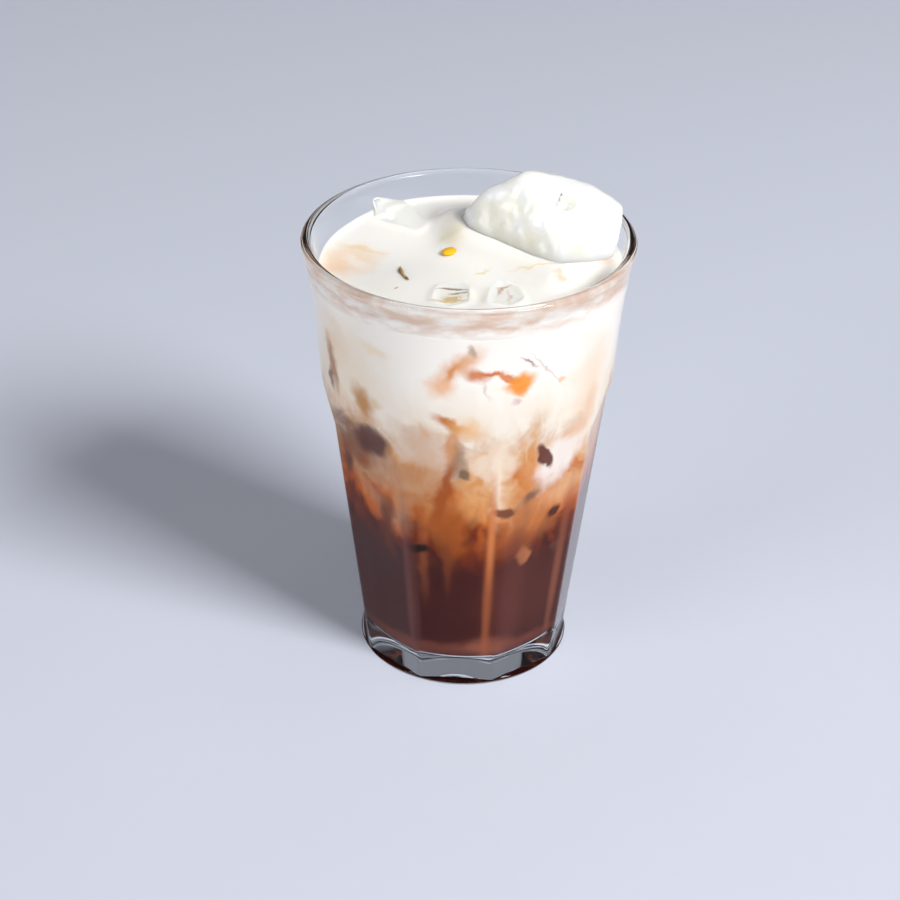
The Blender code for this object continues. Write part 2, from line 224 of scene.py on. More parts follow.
# Clouds in the drink against the glass, and painted shade and light on its sides: degrees from the front,
# height in mm, half width in degrees, half height in mm, turn in degrees, softness, colour, strength
CLOUDS_AND_PAINTED_SHADING = (
    # Painted shade: a darker brown field on the left side, away from the key lamp
    (-57, 71, 20, 8, 8, 0.6, "#6E4030", 0.85),
    (-48, 58, 11, 4, -15, 0.7, "#AF8164", 0.55),
    (-52, 38, 24, 9, 0, 0.5, "#3D2220", 0.6),
    (-16, 79, 15, 5, -12, 0.6, "#D9BBA5", 0.8),
    (-20, 70, 12, 5, 14, 0.7, "#C48F66", 0.75),
    (-14, 60, 10, 8, 0, 0.7, "#B26A34", 0.6),
    (30, 60, 16, 6, 0, 0.7, "#CE8D5B", 0.6),
    (-36, 68, 9, 5, 10, 0.6, "#B98A6C", 0.6),
    (-25, 62, 12, 3.5, 18, 0.7, "#B4703F", 0.6),
    (12, 77, 8, 8, 0, 0.5, "#EBD5BF", 0.85),
    (44, 72, 14, 7, 18, 0.5, "#F0E7DF", 0.9),
    (27, 67, 5, 8, -12, 0.7, "#CF8243", 0.75),
    (52, 60, 11, 5, 0, 0.7, "#D9A47C", 0.6),
    (3, 62, 8, 6, 0, 0.7, "#D6985C", 0.6),
    (-6, 52, 7, 9, 8, 0.7, "#A3531A", 0.75),
    (32, 52, 14, 6, 0, 0.7, "#BC7440", 0.6),
    (20, 47, 14, 4, 0, 0.7, "#94481F", 0.6),
    (-40, 50, 4, 9, 6, 0.7, "#5B2C1A", 0.8),
    (-31, 56, 4, 6, 0, 0.8, "#C99772", 0.6),
    # Painted light: a lighter brown field low on the right side, which faces the key lamp
    (36, 28, 24, 14, 0, 0.6, "#5A2C22", 0.5),
    (31, 41.5, 6.5, 3, 0, 0.35, "#BC7349", 0.8),
    (55, 97, 10, 9, 0, 0.8, "#EFCDB2", 0.6),
    (56, 84, 7, 7, -30, 0.7, "#E7BC98", 0.6),
    (-57, 103, 5, 5, 0, 0.8, "#E3BC9A", 0.6),
    (-38, 107, 5, 2, 0, 0.8, "#F0DCC0", 0.7),
    # Partly a cream stain, partly painted shade on the upper left side
    (-52, 99, 17, 11, 0, 0.8, "#E9D5BA", 0.6),
)

# Upright glows where light comes in along the tumbler's corners, in the same order
CORNER_GLOWS = (
    (13.2, 34, 2.5, 26, 0, 0.7, "#9A5230", 0.8),
    (13.4, 52, 1.7, 14, 0, 0.8, "#D07E45", 0.75),
    (-28.5, 30, 2.4, 26, 0, 0.8, "#693B36", 0.6),
    (24, 30, 7.0, 22, 0, 0.8, "#64332A", 0.5),
    (57, 34, 3.0, 24, 0, 0.8, "#8F5138", 0.6),
)

# Marks with clearer edges: painted highlights along two of the tumbler's corners, orange syrup, brown
# strands, and dark spots where ice leans on the glass, in the same order of values
MARKS = (
    # Painted highlight: a near-white streak along the corner to the right of the front
    (14.5, 68, 2.0, 11, 0, 0.8, "#F5E3CD", 0.7),
    # Painted light: a lighter brown streak along the corner to the left of the front
    (-22, 44, 2.4, 12, 0, 0.9, "#9A5330", 0.5),
    (-10, 66, 3.2, 14, -24, 0.6, "#9C4A16", 0.9),
    (-6, 82, 3.2, 6.5, -18, 0.5, "#CC8447", 0.8),
    (-7, 88.6, 6.0, 1.8, -14, 0.6, "#C2702C", 0.95),
    (0, 87, 6.0, 2.6, -10, 0.8, "#EDB474", 0.7),
    (-3, 75.5, 3.0, 6, 0, 0.6, "#9F7E66", 0.8),
    (-0.5, 71.8, 2.6, 2.0, 0, 0.4, "#6E5646", 0.85),
    (5.5, 69, 2.0, 1.6, 0, 0.6, "#D08A4A", 0.8),
    (-3.5, 106.5, 8.0, 2.6, 28, 0.8, "#DE9E6C", 0.9),
    (-6.5, 104.2, 4.0, 1.2, 44, 0.7, "#D58A50", 0.8),
    (1.2, 111.3, 1.5, 1.6, 0, 0.6, "#A48C76", 0.7),
    (3.5, 103.6, 5.0, 1.8, -4, 0.6, "#CD702E", 0.9),
    (9.5, 104.2, 4.0, 0.7, 4, 0.6, "#C9672A", 0.9),
    (15.5, 102.6, 5.0, 1.0, -18, 0.5, "#D9762B", 0.9),
    (20.3, 100.6, 5.8, 2.6, 8, 0.5, "#EE9432", 0.95),
    (20, 98, 2.6, 1.8, 0, 0.5, "#EE9030", 0.9),
    (-10.5, 99.8, 4.4, 2.8, 0, 0.9, "#EDB184", 0.85),
    (-63.5, 95.5, 2.6, 7.0, 14, 0.6, "#A2673F", 0.8),
    (-66, 90.5, 1.8, 3.0, 0, 0.6, "#6E3626", 0.8),
    (-45, 88.8, 5.4, 3.6, -30, 0.8, "#BC8449", 0.95),
    (-38, 90, 2.4, 1.6, 0, 0.8, "#DDBD94", 0.7),
    (-45, 76.8, 10.5, 5.0, 4, 0.35, "#56322E", 0.92),
    (-62, 79, 7.0, 3.0, 0, 0.6, "#6B4236", 0.7),
    (-66, 64, 3.5, 2.8, 0, 0.6, "#4A2F2A", 0.7),
    (-53, 67.5, 5.0, 1.8, 12, 0.7, "#8A4A28", 0.7),
    (-23.5, 45.6, 5.0, 1.5, 0, 0.4, "#150D0D", 0.97),
    (36, 74, 6.6, 2.6, -37, 0.25, "#633026", 0.97),
    (18, 58.6, 4.6, 1.6, -4, 0.4, "#6A3422", 0.9),
    (30, 62, 4.2, 1.7, 10, 0.6, "#6D5348", 0.85),
    (24, 60.4, 2.6, 0.7, 22, 0.7, "#A5846C", 0.7),
    (46.3, 53.9, 4.4, 2.0, 14, 0.35, "#45231D", 0.95),
    (51, 41.2, 4.2, 1.4, -6, 0.5, "#573025", 0.9),
    (66, 55, 3.0, 5.0, 0, 0.6, "#4D3430", 0.8),
    (22.5, 106.6, 3.2, 0.4, -24, 0.7, "#9A7377", 0.8),
    (31, 103, 8.4, 0.35, -38, 0.8, "#CDB0AE", 0.6),
    (38.3, 98.4, 1.9, 0.8, 0, 0.7, "#EDB98F", 0.8),
    (7.5, 99, 2.4, 0.5, -62, 0.9, "#C9A8A0", 0.5),
    (19.3, 94.6, 1.8, 0.8, 0, 0.8, "#B98592", 0.5),
    (-9, 40.5, 2.0, 7.0, 0, 0.9, "#7A3A1D", 0.6),
    (0, 10.6, 60, 2.2, 0, 0.6, "#84483A", 0.5),
    (14, 12, 12, 3.0, 0, 0.7, "#9A5A42", 0.5),
)

# Colour on the milk's surface: place in mm, half sizes in mm, then as above
SURFACE_MARKS = (
    (-31.5, 4.5, 6.5, 7.5, -30, 0.7, "#F3D4B4", 0.8),
    (-34.0, 1.0, 3.0, 3.5, 0, 0.8, "#F0CFAF", 0.6),
    (-28.5, 11.0, 5.5, 1.0, -18, 0.7, "#EBCFA2", 0.6),
    (-29.5, 3.5, 2.0, 4.5, 40, 0.7, "#F8EFE4", 0.8),
    (3.5, -1.5, 2.2, 0.5, 35, 0.6, "#E8DC9F", 0.8),
    (19.0, -3.4, 7.0, 0.45, -10, 0.7, "#EFDDAE", 0.8),
    (35.4, -1.8, 1.8, 1.6, 0, 0.8, "#F0C9B0", 0.7),
    (24.2, -8.3, 1.6, 0.6, -20, 0.8, "#EFC6A6", 0.7),
    # Painted shadow: a greyish beige strip in the milk beside the ice block's left side
    (-4.2, 14.2, 2.3, 4.8, 14, 0.8, "#E6DCC0", 0.75),
    (-19.2, -10.9, 0.5, 0.45, 0, 0.5, "#B98E7A", 0.8),
    (-4.6, -13.2, 3.6, 0.5, -12, 0.6, "#8C6B42", 0.8),
    (-2.8, -15.4, 2.6, 0.4, 10, 0.6, "#A5814F", 0.8),
    (-5.0, -17.6, 3.8, 0.9, 4, 0.7, "#D3AE66", 0.8),
    (8.8, -13.0, 0.6, 2.6, -20, 0.7, "#C59B7E", 0.8),
    (10.6, -16.5, 0.4, 2.2, 10, 0.8, "#D9B9A6", 0.7),
)


def linear(code):
    """A hex colour as linear red, green and blue."""
    parts = [int(code[i:i + 2], 16) / 255 for i in (1, 3, 5)]
    return tuple(c / 12.92 if c <= 0.04045 else ((c + 0.055) / 1.055) ** 2.4 for c in parts)


def colour(name, description, code):
    """A colour that a user can change."""
    return FloatVectorProperty(
        name=name, description=description, subtype="COLOR", size=3, min=0, max=1, default=linear(code)
    )


def lamp_power(name, description, watts):
    """A lamp's power that a user can change."""
    return FloatProperty(name=name, description=description, unit="POWER", default=watts)


class DrinkColours(bpy.types.PropertyGroup):
    """Colours of the drink, from the bottom of the glass up."""

    chocolate: colour("Chocolate", "Dark chocolate at the bottom", "#3D110C")
    cocoa: colour("Cocoa", "Chocolate where milk begins to cloud it", "#702809")
    caramel: colour("Caramel", "Orange brown strands", "#BE5F1E")
    peach: colour("Peach", "Milk well stained by chocolate", "#D8A06C")
    stain: colour("Stain", "Milk a little stained by chocolate", "#DFC2A9")
    cream: colour("Cream", "Milk with a hint of chocolate", "#EFE1CF")
    wall_milk: colour("Wall milk", "Milk against the side of the glass", "#F6EFE6")
    residue: colour("Residue", "Thin milk left on the glass", "#E4C3AD")
    milk: colour("Milk", "Milk at the surface", "#F5F2EC")


class StudioSettings(bpy.types.PropertyGroup):
    """The floor and lamps."""

    floor: colour("Floor", "Pale floor", "#D1D5E2")
    key_power: lamp_power("Key power", "Lamp at the right front", 58.0)
    fill_power: lamp_power("Fill power", "Soft lamp overhead", 6.0)
    side_power: lamp_power("Side power", "Soft lamp at the left", 21.0)
    room_light: FloatProperty(name="Room light", description="Light from all round", default=0.07)
    backdrop_light: FloatProperty(name="Backdrop light", description="Light from behind", default=0.33)


def add(tree, kind, inputs=None, **settings):
    """Adds a node; an input takes a number, a colour, or the node or output that feeds it."""
    node = tree.nodes.new(kind)
    for key, value in settings.items():
        setattr(node, key, value)
    for key, value in (inputs or {}).items():
        if isinstance(value, bpy.types.Node):
            value = value.outputs[0]
        if isinstance(value, bpy.types.NodeSocket):
            tree.links.new(value, node.inputs[key])
        else:
            node.inputs[key].default_value = value
    return node


def new_material(name):
    """An empty material and its node tree."""
    material = bpy.data.materials.new(name)
    material.use_nodes = True
    material.node_tree.nodes.clear()
    return material, material.node_tree


def set_stops(ramp, stops):
    """Gives a colour ramp its stops, each a share and a linear colour."""
    points = ramp.color_ramp.elements
    while len(points) < len(stops):
        points.new(0.5)
    for point, (position, tone) in zip(points, stops):
        point.position = position
        point.color = (*tone, 1)


def piece_from(bm, name, *materials, slot, replaces=(), smooth_angle=180):
    """Turns a bmesh into a piece that rides on the glass's body."""
    mesh = bpy.data.meshes.new(name)
    bm.to_mesh(mesh)
    bm.free()
    mesh.shade_smooth()
    if smooth_angle < 180:
        mesh.set_sharp_from_angle(angle=math.radians(smooth_angle))
    for material in materials:
        mesh.materials.append(material)
    piece = bpy.data.objects.new(name, mesh)
    bpy.context.scene.collection.objects.link(piece)
    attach(piece, BODY)
    for node in replaces:
        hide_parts(node)
    return piece


def settle(piece):
    """Applies a piece's modifiers."""
    graph = bpy.context.evaluated_depsgraph_get()
    shaped = bpy.data.meshes.new_from_object(piece.evaluated_get(graph))
    piece.modifiers.clear()
    piece.data = shaped


def merged_copy(node):
    """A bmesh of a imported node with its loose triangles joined."""
    bm = bmesh.new()
    bm.from_mesh(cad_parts[node].data)
    bmesh.ops.remove_doubles(bm, verts=bm.verts, dist=MERGE_DISTANCE)
    return bm


def tree_of(node):
    """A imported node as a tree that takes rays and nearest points."""
    bm = merged_copy(node)
    tree = BVHTree.FromBMesh(bm)
    bm.free()
    return tree


CHOCOLATE_TREE = tree_of("chocolate")
MARBLED_TREE = tree_of("marbled_milk")
ICE_TREES = {name: tree_of(name) for name in ("ice_block", *CLEAR_PIECES)}


def smooth_profile(points):
    """A radius for any height, on a smooth curve through (height, radius) in mm."""
    heights = [height * MM for height, _ in points]
    radii = [radius * MM for _, radius in points]
    last = len(points) - 1

    def slope(i):
        low, high = max(i - 1, 0), min(i + 1, last)
        return (radii[high] - radii[low]) / (heights[high] - heights[low])

    def radius_at(z):
        z = min(max(z, heights[0]), heights[last])
        i = next(k for k in range(last) if z <= heights[k + 1])
        span = heights[i + 1] - heights[i]
        t = (z - heights[i]) / span
        start = (1 + 2 * t) * (1 - t) ** 2 * radii[i]
        end = t * t * (3 - 2 * t) * radii[i + 1]
        lean = t * (1 - t) ** 2 * slope(i) - t * t * (1 - t) * slope(i + 1)
        return start + end + lean * span

    return radius_at


body_radius = smooth_profile(BODY_PROFILE)
straight_bore = smooth_profile(BORE_PROFILE)


def bore_radius(z):
    """The radius of the glass's inside at a height, with the round at its floor."""
    below = max(FLOOR_HEIGHT + FLOOR_ROUND - z, 0.0)
    inset = FLOOR_ROUND - math.sqrt(max(FLOOR_ROUND ** 2 - below ** 2, 0.0))
    return straight_bore(z) - inset


def steps(start, end, count):
    """Values from start to end, both included."""
    return [start + (end - start) * i / count for i in range(count + 1)]


def around(radius, angle, z):
    """A point at a radius; angle 0 faces the front, which is -Y."""
    return Vector((radius * math.sin(angle), -radius * math.cos(angle), z))


def off_centre(angle):
    """How far an angle lies from the middle of its side of the tumbler."""
    return (angle - FIRST_SIDE_TURN + HALF_SIDE) % (2 * HALF_SIDE) - HALF_SIDE


def side_radius(angle, z):
    """Where a flat side of the tumbler lies, with its corners rounded."""
    middle = (BASE_CORNER_RADIUS + CORNER_SLOPE * z) * math.cos(HALF_SIDE)
    off = abs(off_centre(angle))
    centre = (1 - CORNER_ROUND) / math.cos(HALF_SIDE)
    if off <= math.atan(centre * math.sin(HALF_SIDE)):
        return middle / math.cos(off)
    across = centre * math.sin(HALF_SIDE - off)
    along = centre * math.cos(HALF_SIDE - off)
    return middle * (along + math.sqrt(CORNER_ROUND ** 2 - across ** 2))


def arch_share(angle):
    """0 at an arch's top in the middle of a side, 1 at a corner."""
    return (off_centre(angle) / HALF_SIDE) ** 2


def arch_height(angle):
    """Height of the arches' edge."""
    return ARCH_TOP - ARCH_DROP * arch_share(angle)


def cove_height(angle):
    """Height of the cove that leads from a flat side out to the arch's edge."""
    return COVE_AT_CORNER + (COVE_AT_ARCH_TOP - COVE_AT_CORNER) * (1 - arch_share(angle))


def foot_row(turn):
    """A row of the round foot, at a turn of its rounded edge."""
    radius = FOOT_RADIUS - FOOT_ROUND + FOOT_ROUND * math.cos(turn)
    return lambda angle: (radius, FOOT_ROUND + FOOT_ROUND * math.sin(turn))


def side_row(share):
    """A row of the flat sides, from the foot's ledge at 0 to the cove at 1."""

    def place(angle):
        z = LEDGE_HEIGHT + (arch_height(angle) - cove_height(angle) - LEDGE_HEIGHT) * share
        return side_radius(angle, z), z

    return place


def cove_reach(share):
    """How far out a cove has come: a parabola whose end turns upright again."""
    if share <= COVE_TURN:
        return share ** 2
    past = share - COVE_TURN
    return COVE_TURN ** 2 + 2 * COVE_TURN * past - COVE_TURN * past ** 2 / (COVE_END - COVE_TURN)


def cove_row(share):
    """A row of the cove, from the flat sides at 0 past the arches' edge at 1."""

    def place(angle):
        edge = arch_height(angle)
        z = edge - cove_height(angle) * (1 - share)
        step = body_radius(edge) - side_radius(angle, edge)
        lean = (body_radius(z) - body_radius(edge)) * (share > 1)
        along = side_radius(angle, min(z, edge)) + step * cove_reach(share) + lean
        return along, z

    return place


def body_row(share):
    """A row of the round body, from the arches' edge at 0 to the lip at 1."""

    def place(angle):
        low = arch_height(angle) + cove_height(angle) * (COVE_END - 1)
        z = low + (GLASS_HEIGHT - 2 * LIP_ROUND - low) * share
        return body_radius(z), z

    return place


def lip_row(turn):
    """A row of the rounded lip, from its outside at 0 over the top to its inside."""
    radius = RIM_RADIUS - LIP_ROUND + LIP_ROUND * math.cos(turn)
    return lambda angle: (radius, GLASS_HEIGHT - LIP_ROUND + LIP_ROUND * math.sin(turn))


def bore_row(z, share=1.0):
    """A row of the glass's inside at a height, or nearer the middle on its floor."""
    return lambda angle: (bore_radius(z) * share, z)


def column_angle(turn):
    """Spreads even columns so that more of them stand on the sides' round corners."""
    flat = math.atan((1 - CORNER_ROUND) * math.tan(HALF_SIDE))
    flat_columns = COLUMNS_PER_SIDE / 2 - COLUMNS_ON_CORNER / 2
    side, place = divmod(turn / (2 * HALF_SIDE) + 0.5, 1)
    column = abs(place - 0.5) * COLUMNS_PER_SIDE
    if column <= flat_columns:
        off = flat * column / flat_columns
    else:
        off = flat + (HALF_SIDE - flat) * (column - flat_columns) / (COLUMNS_ON_CORNER / 2)
    return FIRST_SIDE_TURN + side * 2 * HALF_SIDE + math.copysign(off, place - 0.5)


def spin_rows(rows, columns, angle_at):
    """Spins one upright line of points, then moves each ring of it to its row's place."""
    bm = bmesh.new()
    line = [bm.verts.new((1, 0, index)) for index in range(len(rows))]
    edges = [bm.edges.new(pair) for pair in zip(line, line[1:])]
    bmesh.ops.spin(
        bm, geom=line + edges, cent=(0, 0, 0), axis=(0, 0, 1), angle=2 * math.pi,
        steps=columns, use_merge=True,
    )
    for vert in bm.verts:
        angle = angle_at(math.atan2(vert.co.y, vert.co.x))
        radius, z = rows[round(vert.co.z)](angle)
        vert.co = around(radius, angle, z)
    return bm


def top_of(tree, x, y):
    """Height of a packed layer's top, read below a place or as near to it as the layer reaches."""
    for inset in steps(0, 0.5, 60):
        share = (1 - inset) * INSIDE_EDGE
        place = tree.ray_cast(Vector((x * share, y * share, 1)), Vector((0, 0, -1)))[0]
        if place is not None:
            return place.z
    raise RuntimeError(f"no layer lies under {x:.4f}, {y:.4f}")


def milk_top(x, y):
    """The milk's surface, which climbs the glass and the ice a little."""
    radius = bore_radius(MILK_LEVEL)
    back = min(max(y / radius, 0.0), 1.0)
    swell = MILK_RISE_AT_BACK * back * back * (3 - 2 * back)
    across = math.sin(x / RIPPLE_LENGTHS[0] + RIPPLE_STARTS[0])
    ripple = across * math.sin(y / RIPPLE_LENGTHS[1] + RIPPLE_STARTS[1])
    z = MILK_LEVEL + swell + MILK_RIPPLE * ripple
    to_wall = max(radius - math.hypot(x, y), 0.0)
    z += MENISCUS_RISE * math.exp(-to_wall / MENISCUS_WIDTH)
    point = Vector((x, y, z))
    _, _, _, away = ICE_TREES["ice_block"].find_nearest(point)
    z += HEAP_RISE * math.exp(-((away / HEAP_WIDTH) ** 2))
    for name in CLEAR_PIECES:
        _, _, _, away = ICE_TREES[name].find_nearest(point)
        z += CLING_RISE * math.exp(-((away / CLING_WIDTH) ** 2))
    return z


def layer_bmesh(low, high, wall_steps, top_shares):
    """A layer of the drink between two uneven surfaces, spun from one outline."""
    bm = bmesh.new()
    under = [(share, 0.0) for share in UNDERSIDE_SHARES]
    wall = [(1.0, step / wall_steps) for step in range(1, wall_steps)]
    top = [(share, 1.0) for share in reversed(top_shares)]
    outline = [bm.verts.new((share, 0, level)) for share, level in under + wall + top]
    edges = [bm.edges.new(pair) for pair in zip(outline, outline[1:])]
    bmesh.ops.spin(
        bm, geom=outline + edges, cent=(0, 0, 0), axis=(0, 0, 1), angle=2 * math.pi,
        steps=DRINK_TURNS, use_merge=True,
    )
    bmesh.ops.remove_doubles(bm, verts=bm.verts, dist=1e-5)
    for vert in bm.verts:
        share, level = math.hypot(vert.co.x, vert.co.y), vert.co.z
        turn = math.atan2(vert.co.x, -vert.co.y)
        edge = bore_radius((low(0, 0) + high(0, 0)) / 2)
        for _ in range(2):
            x, y = edge * share * math.sin(turn), -edge * share * math.cos(turn)
            z = low(x, y) + (high(x, y) - low(x, y)) * level
            edge = bore_radius(z) + REACH
        vert.co = (edge * share * math.sin(turn), -edge * share * math.cos(turn), z)
    bmesh.ops.recalc_face_normals(bm, faces=bm.faces)
    return bm


def unroll(bm, top_material=None):
    """Gives the wall a map: degrees from the front, or from the back, and height in mm."""
    layer = bm.loops.layers.uv.new("unrolled")
    for face in bm.faces:
        middle = face.calc_center_median()
        centre_turn = math.atan2(middle.x, -middle.y)
        for loop in face.loops:
            turn = math.atan2(loop.vert.co.x, -loop.vert.co.y)
            if turn - centre_turn > math.pi:
                turn -= 2 * math.pi
            if centre_turn - turn > math.pi:
                turn += 2 * math.pi
            away = math.degrees(turn)
            if abs(away) > 90:
                away = math.copysign(180, away) - away
            loop[layer].uv = (away, loop.vert.co.z / MM)
        if top_material is not None and face.normal.z > 0.5:
            face.material_index = top_material


def make_clear(name, refraction, tint, roughness):
    """A clear material that reflects a little less than its index would have it, and
    lets the rays that only carry light pass straight through."""
    material, tree = new_material(name)
    bend = add(
        tree, "ShaderNodeBsdfRefraction", {"Color": (*tint, 1), "Roughness": roughness, "IOR": refraction}
    )
    mirror = add(tree, "ShaderNodeBsdfAnisotropic", {"Color": (1, 1, 1, 1), "Roughness": roughness})
    graze = add(tree, "ShaderNodeFresnel", {"IOR": refraction})
    share = add(tree, "ShaderNodeMath", {0: graze, 1: REFLECTION_POWER}, operation="POWER")
    body = add(tree, "ShaderNodeMixShader", {0: share, 1: bend, 2: mirror})
    through = add(tree, "ShaderNodeBsdfTransparent", {"Color": (*tint, 1)})
    path = add(tree, "ShaderNodeLightPath")
    passing = add(
        tree, "ShaderNodeMath",
        {0: path.outputs["Is Shadow Ray"], 1: path.outputs["Is Diffuse Ray"]}, operation="MAXIMUM",
    )
    shader = add(tree, "ShaderNodeMixShader", {0: passing, 1: body, 2: through})
    add(tree, "ShaderNodeOutputMaterial", {"Surface": shader})
    return material


def paint_marks(tree, under, place, marks):
    """Lays soft ovals of colour over each other; each is a place, sizes, turn and colour."""
    for across, up, half_width, half_height, turn, softness, code, strength in marks:
        local = add(
            tree, "ShaderNodeMapping",
            {
                "Vector": place, "Location": (across, up, 0),
                "Rotation": (0, 0, math.radians(turn)), "Scale": (half_width, half_height, 1),
            },
            vector_type="TEXTURE",
        )
        reach = add(tree, "ShaderNodeVectorMath", {0: local}, operation="LENGTH")
        mask = add(
            tree, "ShaderNodeMapRange",
            {
                "Value": reach.outputs["Value"], "From Min": 1 + softness, "From Max": 1 - softness,
                "To Min": 0.0, "To Max": strength,
            },
            interpolation_type="SMOOTHSTEP",
        )
        laid = add(
            tree, "ShaderNodeMix", {"Factor": mask, 6: under, 7: (*linear(code), 1)}, data_type="RGBA"
        )
        under = laid.outputs[2]
    return under


def millimetres_of(tree):
    """The piece's own coordinates in millimetres."""
    place = add(tree, "ShaderNodeTexCoord")
    return add(tree, "ShaderNodeMapping", {"Vector": place.outputs["Object"], "Scale": (1000, 1000, 1000)})


def stirred(tree, place, millimetres, size, push):
    """Coordinates pushed about by noise, so that what is drawn on them looks stirred."""
    bend = add(tree, "ShaderNodeTexNoise", {"Vector": millimetres, "Scale": 1 / size, "Detail": 3.0})
    centred = add(
        tree, "ShaderNodeVectorMath", {0: bend.outputs["Color"], 1: (0.5, 0.5, 0.5)}, operation="SUBTRACT"
    )
    pushed = add(tree, "ShaderNodeVectorMath", {0: centred, 1: push}, operation="MULTIPLY")
    return add(tree, "ShaderNodeVectorMath", {0: place, 1: pushed}, operation="ADD")


def cover_with_liquid_border(tree, inside):
    """What lies in the glass, seen through it: mirror-like where the eye grazes the border."""
    graze = add(tree, "ShaderNodeFresnel", {"IOR": GLASS_TO_DRINK})
    mirror = add(tree, "ShaderNodeBsdfAnisotropic", {"Color": (1, 1, 1, 1), "Roughness": 0.0})
    border = add(tree, "ShaderNodeMixShader", {0: graze, 1: inside, 2: mirror})
    add(tree, "ShaderNodeOutputMaterial", {"Surface": border})


def make_drink(colours):
    """Chocolate and milk, poured and half stirred: soft marbling from dark to white, with painted light and
    shade in places on its sides.
    """
    material, tree = new_material("chocolate_and_milk_half_stirred")
    millimetres = millimetres_of(tree)
    bent = stirred(tree, millimetres, millimetres, *MARBLING_STIR)
    drawn = add(tree, "ShaderNodeMapping", {"Vector": bent, "Scale": (1.0, 1.0, WISP_SQUEEZE)})
    wisps = add(
        tree, "ShaderNodeTexNoise",
        {"Vector": drawn, "Scale": 1 / WISP_SIZE, "Detail": 2.5, "Roughness": 0.45},
    )
    hanging = add(tree, "ShaderNodeMapping", {"Vector": bent, "Scale": (1.0, 1.0, STRAND_SQUEEZE)})
    strands = add(tree, "ShaderNodeTexNoise", {"Vector": hanging, "Scale": 1 / STRAND_SIZE, "Detail": 2.0})
    both = add(tree, "ShaderNodeMix", {"Factor": STRAND_SHARE, 2: wisps, 3: strands})
    height = add(tree, "ShaderNodeSeparateXYZ", {0: millimetres})
    tall = add(tree, "ShaderNodeMath", {0: height.outputs["Z"], 1: MAP_HEIGHT}, operation="DIVIDE")
    unrest = add(tree, "ShaderNodeFloatCurve", {"Value": tall})
    shape = unrest.mapping.curves[0]
    for share, level in UNREST:
        shape.points.new(share, level)
    shape.points[0].location = (0.0, UNREST_AT_ENDS[0])
    shape.points[-1].location = (1.0, UNREST_AT_ENDS[1])
    unrest.mapping.update()
    swing = add(
        tree, "ShaderNodeMapRange",
        {"Value": both, "From Min": 0.3, "From Max": 0.7, "To Min": -SWING, "To Max": SWING},
    )
    moved = add(tree, "ShaderNodeMath", {0: swing, 1: unrest}, operation="MULTIPLY")
    level = add(tree, "ShaderNodeMath", {0: height.outputs["Z"], 1: moved}, operation="ADD")
    share = add(tree, "ShaderNodeMath", {0: level, 1: MAP_HEIGHT}, operation="DIVIDE")
    ramp = add(tree, "ShaderNodeValToRGB", {"Fac": share})
    set_stops(ramp, (
        (0.0, colours.chocolate), (0.32, colours.chocolate), (0.41, colours.cocoa), (0.50, colours.caramel),
        (0.59, colours.peach), (0.67, colours.stain), (0.74, colours.cream), (0.85, colours.wall_milk),
    ))
    unrolled = add(tree, "ShaderNodeUVMap", uv_map="unrolled")
    soft_place = stirred(tree, unrolled, millimetres, *CLOUD_STIR)
    # Some of these clouds are painted shade on the left side and painted light low on the right
    clouded_and_shaded = paint_marks(tree, ramp.outputs[0], soft_place.outputs[0], CLOUDS_AND_PAINTED_SHADING)
    close_place = stirred(tree, unrolled, millimetres, *MARK_STIR)
    # The first two marks are painted highlights along the tumbler's corners
    marked = paint_marks(tree, clouded_and_shaded, close_place.outputs[0], MARKS)
    lit = paint_marks(tree, marked, unrolled.outputs[0], CORNER_GLOWS)
    inside = add(
        tree, "ShaderNodeBsdfPrincipled",
        {"Base Color": lit, "Roughness": 0.6, "Specular IOR Level": 0.0},
    )
    cover_with_liquid_border(tree, inside)
    return material


def make_milk_surface(colours):
    """Cold milk: white, glossy, with light going a little way in, faint stains and a painted shadow beside
    the ice block.
    """
    material, tree = new_material("cold_milk")
    millimetres = millimetres_of(tree)
    flat = add(tree, "ShaderNodeVectorMath", {0: millimetres, 1: (1.0, 1.0, 0.0)}, operation="MULTIPLY")
    place = stirred(tree, flat, millimetres, *SURFACE_STIR)
    plain = add(tree, "ShaderNodeRGB")
    plain.outputs[0].default_value = (*colours.milk, 1)
    marked = paint_marks(tree, plain.outputs[0], place.outputs[0], SURFACE_MARKS)
    shader = add(
        tree, "ShaderNodeBsdfPrincipled",
        {
            "Base Color": marked, "Roughness": 0.22, "Subsurface Weight": 0.6,
            "Subsurface Radius": (1.0, 0.85, 0.65), "Subsurface Scale": MILK_LIGHT_DEPTH,
        },
    )
    add(tree, "ShaderNodeOutputMaterial", {"Surface": shader})
    return material


def make_creamy_ice():
    """Melting ice with a film of milk: whitish, light goes well in, wet gloss."""
    material, tree = new_material("ice_with_a_film_of_milk")
    millimetres = millimetres_of(tree)
    patches = add(tree, "ShaderNodeTexNoise", {"Vector": millimetres, "Scale": 1 / PATCH_SIZE, "Detail": 3.0})
    tint = add(tree, "ShaderNodeValToRGB", {"Fac": patches})
    set_stops(tint, ((0.38, linear("#FAF6E8")), (0.62, linear("#F8F9F7"))))
    dents = add(tree, "ShaderNodeTexNoise", {"Vector": millimetres, "Scale": 1 / DENT_SIZE, "Detail": 2.0})
    relief = add(tree, "ShaderNodeBump", {"Height": dents, "Strength": 0.3, "Distance": 1.0 * MM})
    shader = add(
        tree, "ShaderNodeBsdfPrincipled",
        {
            "Base Color": tint, "Roughness": 0.18, "Subsurface Weight": 1.0, "Normal": relief,
            "Subsurface Radius": (1.0, 0.95, 0.88), "Subsurface Scale": ICE_LIGHT_DEPTH,
        },
    )
    add(tree, "ShaderNodeOutputMaterial", {"Surface": shader})
    return material


